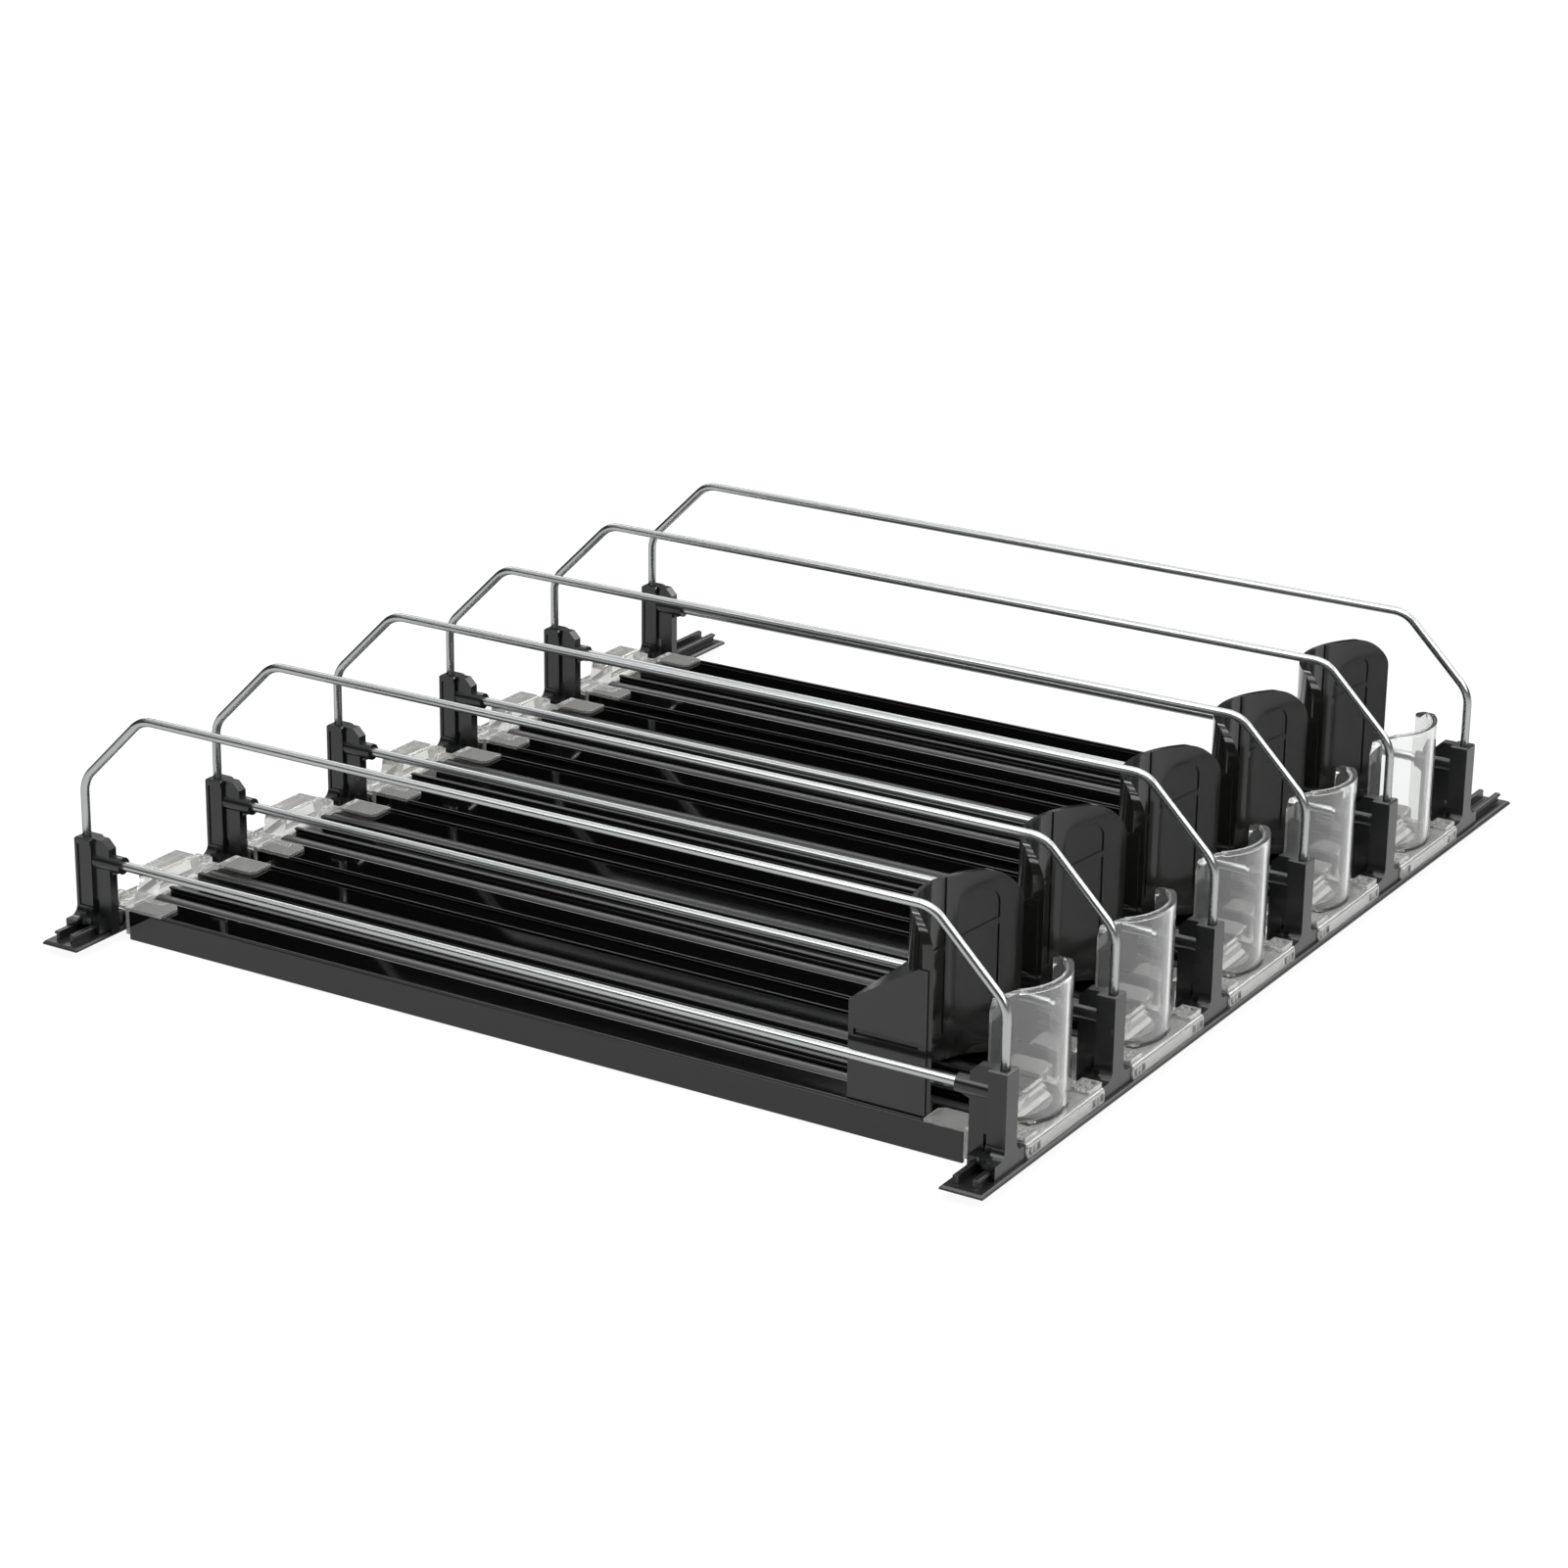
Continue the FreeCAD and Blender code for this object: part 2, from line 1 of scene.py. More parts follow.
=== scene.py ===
# %% [markdown]
# A can organizer for a fridge shelf. Five lanes lie between six bright wire dividers, and in every
# lane a black pusher on a glossy track draws the cans towards a milky stop at the front. The CAD
# model comes in as a fixed frame. Here each part gets the rounded edges, the finish and the light
# that make it look moulded, drawn or rolled.

# %% Load the frame
import math

import bmesh
import bpy
from mathutils import Matrix, Vector


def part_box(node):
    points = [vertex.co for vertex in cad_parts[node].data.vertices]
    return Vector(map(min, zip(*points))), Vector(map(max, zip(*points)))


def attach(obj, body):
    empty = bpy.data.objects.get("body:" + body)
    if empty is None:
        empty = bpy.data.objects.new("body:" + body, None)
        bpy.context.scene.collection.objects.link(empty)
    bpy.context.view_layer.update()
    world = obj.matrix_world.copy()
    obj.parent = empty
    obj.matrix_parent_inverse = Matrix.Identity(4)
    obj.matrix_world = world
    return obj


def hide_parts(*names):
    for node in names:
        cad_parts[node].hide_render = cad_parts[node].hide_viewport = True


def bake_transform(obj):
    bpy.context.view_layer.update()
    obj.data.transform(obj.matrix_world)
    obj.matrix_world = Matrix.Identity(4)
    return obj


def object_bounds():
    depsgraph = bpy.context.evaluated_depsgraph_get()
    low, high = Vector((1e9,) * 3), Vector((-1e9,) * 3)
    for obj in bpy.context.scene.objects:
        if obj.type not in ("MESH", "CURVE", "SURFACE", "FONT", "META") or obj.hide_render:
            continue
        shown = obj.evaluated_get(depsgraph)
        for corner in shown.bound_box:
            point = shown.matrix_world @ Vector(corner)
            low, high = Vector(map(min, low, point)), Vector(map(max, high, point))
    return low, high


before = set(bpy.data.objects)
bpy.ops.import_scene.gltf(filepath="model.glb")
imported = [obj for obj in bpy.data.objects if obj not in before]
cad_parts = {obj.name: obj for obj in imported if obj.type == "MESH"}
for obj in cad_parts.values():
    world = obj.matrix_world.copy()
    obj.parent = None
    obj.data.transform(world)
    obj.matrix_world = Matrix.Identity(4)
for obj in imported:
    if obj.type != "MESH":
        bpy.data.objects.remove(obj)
cad_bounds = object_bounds()
mm = 0.001
rail_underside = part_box("front_rail")[0].z
lane_labels = [str(number + 1) for number in range(5)]
divider_labels = [str(number + 1) for number in range(6)]
print("CAD box in mm:", [round(value / mm, 1) for corner in cad_bounds for value in corner])

# %% [markdown]
# The camera comes first, because every later choice is judged through it. The photograph was taken
# from the left, a little above the shelf, with a long lens, so the lanes hardly narrow towards the
# back. The turn, the tilt and the slight roll were measured on the straight wires, and heights
# from the underside of the rails.

# %% The photograph's camera
camera_azimuth = math.radians(-58.52)
camera_elevation = math.radians(19.93)
camera_roll = math.radians(0.74)
camera_place = Vector((-1.2405, -0.7458, rail_underside + 0.5598))

camera_data = bpy.data.cameras.new("photo_camera")
camera_data.sensor_width = 36
camera_data.lens = 93.3
camera_data.clip_end = 50
camera = bpy.data.objects.new("photo_camera", camera_data)
bpy.context.scene.collection.objects.link(camera)
camera.matrix_world = (Matrix.Translation(camera_place)
                       @ Matrix.Rotation(camera_azimuth, 4, "Z")
                       @ Matrix.Rotation(math.pi / 2 - camera_elevation, 4, "X")
                       @ Matrix.Rotation(camera_roll, 4, "Z"))
bpy.context.scene.camera = camera
print("Camera is", round(camera_place.length, 2), "m from the middle of the organizer")

# %% [markdown]
# A node tree is easier to read when one line makes a node, sets it and joins it. add_node takes
# the sockets as a dictionary: a value is set on the socket, and another node's output is linked.
# new_group starts a shader node group, and math_node is the short form for the commonest node.

# %% Helpers for node trees
def add_node(tree, kind, sockets=None, **settings):
    node = tree.nodes.new(kind)
    for setting, value in settings.items():
        setattr(node, setting, value)
    for socket, value in (sockets or {}).items():
        if isinstance(value, bpy.types.NodeSocket):
            tree.links.new(value, node.inputs[socket])
        else:
            node.inputs[socket].default_value = value
    return node


def new_group(name, inputs, outputs):
    """A shader node group with named inputs and their usual values, and named outputs."""
    group = bpy.data.node_groups.new(name, "ShaderNodeTree")
    for label, value in inputs.items():
        socket = group.interface.new_socket(label, in_out="INPUT", socket_type="NodeSocketFloat")
        socket.default_value = value
    for label in outputs:
        group.interface.new_socket(label, in_out="OUTPUT", socket_type="NodeSocketFloat")
    return group, group.nodes.new("NodeGroupInput").outputs, group.nodes.new("NodeGroupOutput")


def math_node(tree, operation, first, second):
    return add_node(tree, "ShaderNodeMath", {0: first, 1: second}, operation=operation).outputs[0]


print("Helpers for node trees: add_node, new_group, math_node")

# %% [markdown]
# Every plastic here comes out of a steel mould, so one effect serves them all: a grain copied from
# the tool's surface, and slow waves where thick places shrank. The grain is the finer height and
# the waves bend reflections, which tells the eye that a part is moulded and not cut. A third
# output, the tone, gives the clouds of slightly greyer skin that black plastic always has.

# %% Node group for moulded skin
cloud_scale = 130.0
moulded_skin, given, result = new_group(
    "moulded_skin",
    {"Grain Scale": 3000.0, "Grain Height": 0.3, "Wave Scale": 60.0, "Wave Height": 1.0,
     "Roughness": 0.3, "Roughness Spread": 0.1},
    ["Height", "Roughness", "Tone"])
place = add_node(moulded_skin, "ShaderNodeTexCoord").outputs["Object"]
grain = add_node(moulded_skin, "ShaderNodeTexNoise",
                 {"Vector": place, "Scale": given["Grain Scale"], "Detail": 3.0})
waves = add_node(moulded_skin, "ShaderNodeTexNoise",
                 {"Vector": place, "Scale": given["Wave Scale"], "Detail": 1.0})
clouds = add_node(moulded_skin, "ShaderNodeTexNoise",
                  {"Vector": place, "Scale": cloud_scale, "Detail": 4.0, "Roughness": 0.6})
grain_height = math_node(moulded_skin, "MULTIPLY", grain.outputs["Fac"], given["Grain Height"])
wave_height = math_node(moulded_skin, "MULTIPLY", waves.outputs["Fac"], given["Wave Height"])
height = math_node(moulded_skin, "ADD", grain_height, wave_height)
cloud_offset = math_node(moulded_skin, "SUBTRACT", clouds.outputs["Fac"], 0.5)
cloud_spread = math_node(moulded_skin, "MULTIPLY", cloud_offset, given["Roughness Spread"])
roughness = math_node(moulded_skin, "ADD", given["Roughness"], cloud_spread)
moulded_skin.links.new(height, result.inputs["Height"])
moulded_skin.links.new(roughness, result.inputs["Roughness"])
moulded_skin.links.new(clouds.outputs["Fac"], result.inputs["Tone"])
print("Moulded skin has", len(moulded_skin.nodes), "nodes")

# %% [markdown]
# The tracks, the wires and the spring strip were pulled through a die, which leaves fine lines
# along the pull. A noise pattern squeezed across the lines and stretched along +Y gives just that.

# %% Node group for drawn lines
drawn_lines, given, result = new_group(
    "drawn_lines",
    {"Line Scale": 2500.0, "Length Scale": 12.0, "Roughness": 0.2, "Roughness Spread": 0.1},
    ["Height", "Roughness"])
place = add_node(drawn_lines, "ShaderNodeTexCoord").outputs["Object"]
stretch = add_node(drawn_lines, "ShaderNodeCombineXYZ",
                   {"X": given["Line Scale"], "Y": given["Length Scale"], "Z": given["Line Scale"]})
pulled = add_node(drawn_lines, "ShaderNodeVectorMath", {0: place, 1: stretch.outputs["Vector"]},
                  operation="MULTIPLY")
lines = add_node(drawn_lines, "ShaderNodeTexNoise",
                 {"Vector": pulled.outputs["Vector"], "Scale": 1.0, "Detail": 3.0})
line_offset = math_node(drawn_lines, "SUBTRACT", lines.outputs["Fac"], 0.5)
line_spread = math_node(drawn_lines, "MULTIPLY", line_offset, given["Roughness Spread"])
roughness = math_node(drawn_lines, "ADD", given["Roughness"], line_spread)
drawn_lines.links.new(lines.outputs["Fac"], result.inputs["Height"])
drawn_lines.links.new(roughness, result.inputs["Roughness"])
print("Drawn lines have", len(drawn_lines.nodes), "nodes")

# %% [markdown]
# A material is one Principled shader fed by a group. new_finish makes both, joins the roughness
# and the bump, and hands back the tree, so that each finish below only says what is its own.
# tint_by_tone lets the group's clouds choose between two close shades.

# %% Helpers for finishes
def new_finish(name, group, group_values, bump_depth, shader_values):
    material = bpy.data.materials.new(name + "_finish")
    material["record_slot"] = name
    material.use_nodes = True
    tree = material.node_tree
    shader = tree.nodes["Principled BSDF"]
    effect = add_node(tree, "ShaderNodeGroup", node_tree=group)
    for socket, value in group_values.items():
        effect.inputs[socket].default_value = value
    bump = add_node(tree, "ShaderNodeBump",
                    {"Height": effect.outputs["Height"], "Strength": 1.0, "Distance": bump_depth})
    tree.links.new(effect.outputs["Roughness"], shader.inputs["Roughness"])
    tree.links.new(bump.outputs["Normal"], shader.inputs["Normal"])
    for socket, value in shader_values.items():
        shader.inputs[socket].default_value = value
    return material, tree, shader, effect


def tint_by_tone(tree, shader, effect, dark, light):
    """The colour wanders between two close shades with the group's clouds."""
    mix = add_node(tree, "ShaderNodeMix", {"Factor": effect.outputs["Tone"]}, data_type="RGBA")
    mix.inputs["A"].default_value = dark
    mix.inputs["B"].default_value = light
    tree.links.new(mix.outputs["Result"], shader.inputs["Base Color"])


print("Helpers for finishes: new_finish, tint_by_tone")

# %% [markdown]
# The rails, brackets and pushers are black plastic. The rails and brackets have a satin grain, so
# their faces turn grey where they mirror the white table. The pushers are polished.

# %% Black plastics
skin_depth = 0.02 * mm

rail_finish, tree, shader, effect = new_finish(
    "rail_plastic", moulded_skin,
    {"Grain Scale": 3500.0, "Grain Height": 0.5, "Wave Scale": 45.0, "Wave Height": 1.0,
     "Roughness": 0.33, "Roughness Spread": 0.12},
    skin_depth, {"Specular IOR Level": 0.5})
tint_by_tone(tree, shader, effect, (0.007, 0.007, 0.0075, 1), (0.011, 0.011, 0.0115, 1))

bracket_finish, tree, shader, effect = new_finish(
    "bracket_plastic", moulded_skin,
    {"Grain Scale": 4500.0, "Grain Height": 0.4, "Wave Scale": 90.0, "Wave Height": 1.0,
     "Roughness": 0.25, "Roughness Spread": 0.12},
    skin_depth, {"Specular IOR Level": 0.5})
tint_by_tone(tree, shader, effect, (0.005, 0.0055, 0.0055, 1), (0.008, 0.0085, 0.0085, 1))

pusher_finish, tree, shader, effect = new_finish(
    "pusher_plastic", moulded_skin,
    {"Grain Scale": 2500.0, "Grain Height": 0.03, "Wave Scale": 40.0, "Wave Height": 1.5,
     "Roughness": 0.12, "Roughness Spread": 0.08},
    skin_depth, {"Specular IOR Level": 0.5})
tint_by_tone(tree, shader, effect, (0.007, 0.0078, 0.0066, 1), (0.011, 0.0118, 0.0105, 1))
print("Three black plastics are ready")

# %% [markdown]
# The track is an extruded black profile, the glossiest part of all. Its die lines run with the
# cans, and the reflections of the wires break up on them. The ribs that carry the cans, the
# guides of the pusher and the beads at the sides are rubbed dull, so they catch the light as grey
# bands. Their height above the deck tells the shader where they are.

# %% Glossy track plastic
deck_top = rail_underside + 8.0 * mm
crest_height = 1.0 * mm
wear_bottom = deck_top + 0.2 * crest_height
wear_top = deck_top + 0.5 * crest_height
wear_roughness = 0.32
track_finish, tree, shader, effect = new_finish(
    "track_plastic", drawn_lines,
    {"Line Scale": 1600.0, "Length Scale": 8.0, "Roughness": 0.05, "Roughness Spread": 0.04},
    0.002 * mm, {"Specular IOR Level": 0.5, "Base Color": (0.0012, 0.0012, 0.0012, 1)})
place = add_node(tree, "ShaderNodeTexCoord").outputs["Object"]
level = add_node(tree, "ShaderNodeSeparateXYZ", {"Vector": place}).outputs["Z"]
rubbed = add_node(tree, "ShaderNodeMapRange",
                  {"Value": level, "From Min": wear_bottom,
                   "From Max": wear_top}).outputs["Result"]
dulling = math_node(tree, "MULTIPLY", rubbed, wear_roughness)
worn_roughness = math_node(tree, "ADD", effect.outputs["Roughness"], dulling)
tree.links.new(worn_roughness, shader.inputs["Roughness"])
print("Track plastic has", len(tree.nodes), "nodes")

# %% [markdown]
# The wires are plated bright. A metal has no colour below its reflections, so the finish is all in
# the metallic value, a pale grey, and a roughness that varies with the drawing lines. A dark
# specular tint keeps the rims of the wires grey, so that they stand out from the white.

# %% Bright wire and spring steel
wire_finish = new_finish(
    "bright_wire", drawn_lines,
    {"Line Scale": 3000.0, "Length Scale": 15.0, "Roughness": 0.28, "Roughness Spread": 0.1},
    0.002 * mm, {"Metallic": 1.0, "Base Color": (0.43, 0.44, 0.44, 1),
                 "Specular Tint": (0.15, 0.15, 0.16, 1)})[0]

spring_finish = new_finish(
    "spring_steel", drawn_lines,
    {"Line Scale": 4000.0, "Length Scale": 10.0, "Roughness": 0.26, "Roughness Spread": 0.14},
    0.003 * mm, {"Metallic": 1.0, "Base Color": (0.62, 0.62, 0.60, 1)})[0]
print("Two metals are ready")

# %% [markdown]
# The end caps and the stops are see-through plastic with a little haze. Pure transmission would
# look like glass, so a share of the light is scattered white: that is the part which stays below
# a transmission of one. The caps are thin shells full of ribs and need the larger share to show,
# while the plain thick walls of the stops look milky with very little of it.

# %% Clear and milky plastic
clear_finish = new_finish(
    "clear_plastic", moulded_skin,
    {"Grain Scale": 1500.0, "Grain Height": 0.02, "Wave Scale": 150.0, "Wave Height": 2.0,
     "Roughness": 0.03, "Roughness Spread": 0.03},
    0.03 * mm, {"Base Color": (0.88, 0.88, 0.86, 1), "IOR": 1.57, "Transmission Weight": 0.8})[0]

milky_finish = new_finish(
    "milky_plastic", moulded_skin,
    {"Grain Scale": 1200.0, "Grain Height": 0.05, "Wave Scale": 60.0, "Wave Height": 1.0,
     "Roughness": 0.03, "Roughness Spread": 0.03},
    0.02 * mm, {"Base Color": (0.86, 0.87, 0.86, 1), "IOR": 1.57, "Transmission Weight": 0.95})[0]
print("Two see-through plastics are ready")

# %% [markdown]
# A CAD solid has perfectly sharp edges, and nothing moulded has. The shape itself is right, so it
# isn't modelled again: a copy of the solid's mesh has its loose triangles merged, its flat faces
# made whole, and its sharp edges bevelled. The narrow bevels catch the light as thin lines, which
# is most of what makes plastic look real.

# %% Helpers for copies with rounded edges
weld_distance = 0.004 * mm
flat_within = math.radians(0.6)


def merged_copy(node):
    shape = bmesh.new()
    shape.from_mesh(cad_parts[node].data)
    bmesh.ops.remove_doubles(shape, verts=shape.verts, dist=weld_distance)
    bmesh.ops.dissolve_limit(shape, angle_limit=flat_within, verts=shape.verts,
                             edges=shape.edges)
    return shape


def round_edges(shape, width, segments=2, from_angle=math.radians(28)):
    sharp = [edge for edge in shape.edges
             if len(edge.link_faces) == 2 and edge.calc_face_angle() > from_angle]
    bmesh.ops.bevel(shape, geom=sharp, offset=width, offset_type="OFFSET", segments=segments,
                    profile=0.5, affect="EDGES", clamp_overlap=True, material=-1)
    return len(sharp)


print("Helpers for copies: merged_copy, round_edges")

# %% [markdown]
# A finished shape becomes an object at the origin with its place in its mesh. A weighted normal
# modifier lets the large flat faces lead, so that only the narrow bevels bend the light. Like
# pieces share one shape: step_between gives the move from one node's place to another's.

# %% Helpers for placing pieces
crease_angle = math.radians(50)


def finished_piece(shape, name, node, body, finish, move=None, weighted=True):
    """Turns a bmesh into a piece that stands for a CAD node, at that node's own place."""
    data = bpy.data.meshes.new(name)
    shape.to_mesh(data)
    if move is not None:
        data.transform(move)
    data.shade_smooth()
    data.materials.append(finish)
    piece = bpy.data.objects.new(name, data)
    bpy.context.scene.collection.objects.link(piece)
    if weighted:
        data.set_sharp_from_angle(angle=crease_angle)
        normals = piece.modifiers.new("level_faces", "WEIGHTED_NORMAL")
        normals.keep_sharp = True
    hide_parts(node)
    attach(piece, body)
    return piece


def step_between(first, other):
    """The move that takes a shape from one node's place to a like node's place."""
    return Matrix.Translation(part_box(other)[0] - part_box(first)[0])


print("Helpers for pieces: finished_piece, step_between")

# %% [markdown]
# The front and rear rail are pressed strips with two hooked ribs. Both are alike, so one shape
# serves twice.

# %% Rails
rail_round = 0.2 * mm
rail_shape = merged_copy("front_rail")
edge_count = round_edges(rail_shape, rail_round)
for node in ("front_rail", "rear_rail"):
    finished_piece(rail_shape, node + "_strip", node, "root", rail_finish,
                   step_between("front_rail", node))
print("Rails:", edge_count, "rounded edges each")

# %% [markdown]
# The brackets clip on the rails and hold the wires. The rear ones are the front moulding turned
# half round about an upright axis, so the same shape is turned in the mesh before it is placed.

# %% Brackets
bracket_round = 0.22 * mm
bracket_shape = merged_copy("front_bracket_1")
edge_count = round_edges(bracket_shape, bracket_round)
half_turn = Matrix.Rotation(math.pi, 4, "Z")


def turned_to(first, other):
    """The move that turns a front piece half round and sets it on a rear node's place."""
    turned_corner = half_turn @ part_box(first)[1]
    turned_corner.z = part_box(first)[0].z
    return Matrix.Translation(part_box(other)[0] - turned_corner) @ half_turn


for label in divider_labels:
    front = "front_bracket_" + label
    rear = "rear_bracket_" + label
    finished_piece(bracket_shape, front + "_moulding", front, "root", bracket_finish,
                   step_between("front_bracket_1", front))
    finished_piece(bracket_shape, rear + "_moulding", rear, "root", bracket_finish,
                   turned_to("front_bracket_1", rear))
print("Brackets:", edge_count, "rounded edges each")

# %% [markdown]
# A divider is one bent wire. A curve with a round bevel would be the quick way, but its bends would
# follow handles and not the bending tool. Here a circle is pushed along: straight runs are
# extruded and each bend is spun about its own centre, as the wire was bent round a pin.

# %% Helpers for bent wires
wire_segments = 24
bend_steps = 10


def run_on(shape, rim, step):
    """Extrudes an open rim of edges by one step and returns the new rim."""
    grown = bmesh.ops.extrude_edge_only(shape, edges=rim)["geom"]
    fresh = {item for item in grown if isinstance(item, bmesh.types.BMVert)}
    bmesh.ops.translate(shape, verts=list(fresh), vec=step)
    return [item for item in grown
            if isinstance(item, bmesh.types.BMEdge) and set(item.verts) <= fresh]


def bent_wire(corners, radius, bend_radius):
    """A round wire through the corners, all in one plane, with its bends spun."""
    shape = bmesh.new()
    first_run = (corners[1] - corners[0]).normalized()
    stand = Matrix.Translation(corners[0]) @ first_run.to_track_quat("Z", "X").to_matrix().to_4x4()
    bmesh.ops.create_circle(shape, cap_ends=True, segments=wire_segments, radius=radius,
                            matrix=stand)
    rim = [edge for edge in shape.edges if len(edge.link_faces) == 1]
    here = corners[0]
    for before, corner, after in zip(corners, corners[1:], corners[2:]):
        inward = (corner - before).normalized()
        outward = (after - corner).normalized()
        turn = inward.angle(outward)
        reach = bend_radius * math.tan(turn / 2)
        bend_start = corner - inward * reach
        rim = run_on(shape, rim, bend_start - here)
        axis = inward.cross(outward).normalized()
        spun = bmesh.ops.spin(shape, geom=rim, cent=bend_start + axis.cross(inward) * bend_radius,
                              axis=axis, angle=turn, steps=bend_steps, use_merge=False)
        rim = [item for item in spun["geom_last"] if isinstance(item, bmesh.types.BMEdge)]
        here = corner + outward * reach
    rim = run_on(shape, rim, corners[-1] - here)
    bmesh.ops.contextual_create(shape, geom=rim)
    bmesh.ops.recalc_face_normals(shape, faces=shape.faces)
    return shape


print("A wire has", wire_segments, "sides and", bend_steps, "steps in each bend")

# %% [markdown]
# The ends, the top and the thickness of a hoop come from its CAD node's box, so the wire lies just
# where the solid does. The shoulder and the slope between leg and top are this object's own
# measures. The lower rod is the same wire without a bend.

# %% Divider hoops and lower rods
hoop_shoulder = rail_underside + 58.0 * mm
hoop_slope_run = 28.0 * mm
hoop_bend_radius = 12.0 * mm
hoop_low, hoop_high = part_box("divider_hoop_1")
wire_radius = (hoop_high.x - hoop_low.x) / 2
hoop_x = (hoop_high.x + hoop_low.x) / 2
front_leg_y = hoop_low.y + wire_radius
rear_leg_y = hoop_high.y - wire_radius
hoop_top = hoop_high.z - wire_radius
hoop_corners = [Vector((hoop_x, y, z)) for y, z in (
    (front_leg_y, hoop_low.z), (front_leg_y, hoop_shoulder),
    (front_leg_y + hoop_slope_run, hoop_top), (rear_leg_y - hoop_slope_run, hoop_top),
    (rear_leg_y, hoop_shoulder), (rear_leg_y, hoop_low.z))]
hoop_shape = bent_wire(hoop_corners, wire_radius, hoop_bend_radius)

rod_low, rod_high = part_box("lower_rod_1")
rod_middle = (rod_low + rod_high) / 2
rod_radius = (rod_high.z - rod_low.z) / 2
rod_ends = [Vector((rod_middle.x, y, rod_middle.z)) for y in (rod_low.y, rod_high.y)]
rod_shape = bent_wire(rod_ends, rod_radius, hoop_bend_radius)

for label in divider_labels:
    hoop = "divider_hoop_" + label
    rod = "lower_rod_" + label
    finished_piece(hoop_shape, hoop + "_wire", hoop, "root", wire_finish,
                   step_between("divider_hoop_1", hoop), weighted=False)
    finished_piece(rod_shape, rod + "_wire", rod, "root", wire_finish,
                   step_between("lower_rod_1", rod), weighted=True)
print("Hoop wire has", len(hoop_shape.faces), "faces, rod", len(rod_shape.faces))

# %% [markdown]
# The tracks are extruded, so every edge along them has the small round of the die. The bevel gets
# three segments here, because these long edges draw the light lines of the photograph. A fine
# bead runs along each side of the deck, from the tabs of one cap to those of the other. It is
# drawn like the wires: a half-round outline is pushed along.

# %% Tracks
track_round = 0.4 * mm
bead_radius = 0.36 * mm
bead_height = 0.8 * mm
bead_root = -0.1 * mm
bead_from_edge = 0.7 * mm
bead_gap = 0.5 * mm
bead_turns = [math.radians(degrees) for degrees in range(0, 181, 30)]


def add_bead(shape, x, start, end):
    """Stands a half-round bead on the deck; its root sinks in a little, so that no gap shows."""
    crest = [(math.cos(turn) * bead_radius, bead_height + (math.sin(turn) - 1) * bead_radius)
             for turn in bead_turns]
    outline = [(bead_radius, bead_root)] + crest + [(-bead_radius, bead_root)]
    ring = [shape.verts.new((x + across, start, deck_top + up)) for across, up in outline]
    rim = run_on(shape, list(shape.faces.new(ring).edges), Vector((0, end - start, 0)))
    bmesh.ops.contextual_create(shape, geom=rim)


track_shape = merged_copy("track_1")
edge_count = round_edges(track_shape, track_round, segments=3)
track_low, track_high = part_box("track_1")
bead_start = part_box("front_cap_1")[1].y + bead_gap
bead_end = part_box("rear_cap_1")[0].y - bead_gap
for bead_x in (track_low.x + bead_from_edge, track_high.x - bead_from_edge):
    add_bead(track_shape, bead_x, bead_start, bead_end)
bmesh.ops.recalc_face_normals(track_shape, faces=track_shape.faces)
for label in lane_labels:
    track = "track_" + label
    finished_piece(track_shape, track + "_profile", track, "root", track_finish,
                   step_between("track_1", track))
print("Tracks:", edge_count, "rounded edges each")

# %% [markdown]
# The caps' outer faces have small pockets at both ends, which sparkle. Light passes through the
# caps, so each must be one closed skin with no walls inside, and the pockets are cut out of that
# same skin: planes part the face into cells, and some of the cells are inset and sunk.

# %% Helper for the caps' pockets
cap_end_inset = 5.25 * mm
pocket_spans = [(0.6 * mm, 2.9 * mm), (3.7 * mm, 5.2 * mm), (6.0 * mm, 8.6 * mm)]
pocket_floor = rail_underside + 2.1 * mm
pocket_roof = rail_underside + 5.2 * mm
pocket_depth = 1.1 * mm
pocket_draft = 0.25 * mm
same_plane = 0.01 * mm


def sink_pockets(shape, low, high, face_y):
    """Sinks a row of small pockets into the upright face at face_y, near both of its ends."""
    def on_face():
        return [face for face in shape.faces
                if all(abs(corner.co.y - face_y) < same_plane for corner in face.verts)]

    def cut(place, normal):
        faces = on_face()
        edges = {edge for face in faces for edge in face.edges}
        corners = {corner for face in faces for corner in face.verts}
        bmesh.ops.bisect_plane(shape, geom=faces + list(edges) + list(corners), plane_co=place,
                               plane_no=normal)

    left = low.x + cap_end_inset
    right = high.x - cap_end_inset
    spans = [(left + start, left + end) for start, end in pocket_spans]
    spans += [(right - end, right - start) for start, end in pocket_spans]
    for x in [x for span in spans for x in span]:
        cut((x, face_y, 0), (1, 0, 0))
    for z in (pocket_floor, pocket_roof):
        cut((0, face_y, z), (0, 0, 1))
    cells = [face for face in on_face()
             if pocket_floor < face.calc_center_median().z < pocket_roof
             and any(start < face.calc_center_median().x < end for start, end in spans)]
    bmesh.ops.inset_individual(shape, faces=cells, thickness=pocket_draft, depth=-pocket_depth,
                               use_even_offset=True)
    return len(cells)


print("Pockets at each end of a cap:", len(pocket_spans))

# %% [markdown]
# The clear caps hold the tracks' ends on the rails, and the milky stops stand on the front caps.
# The merged copies are already closed skins. The pockets come before the edges are rounded, so
# that their rims are rounded too.

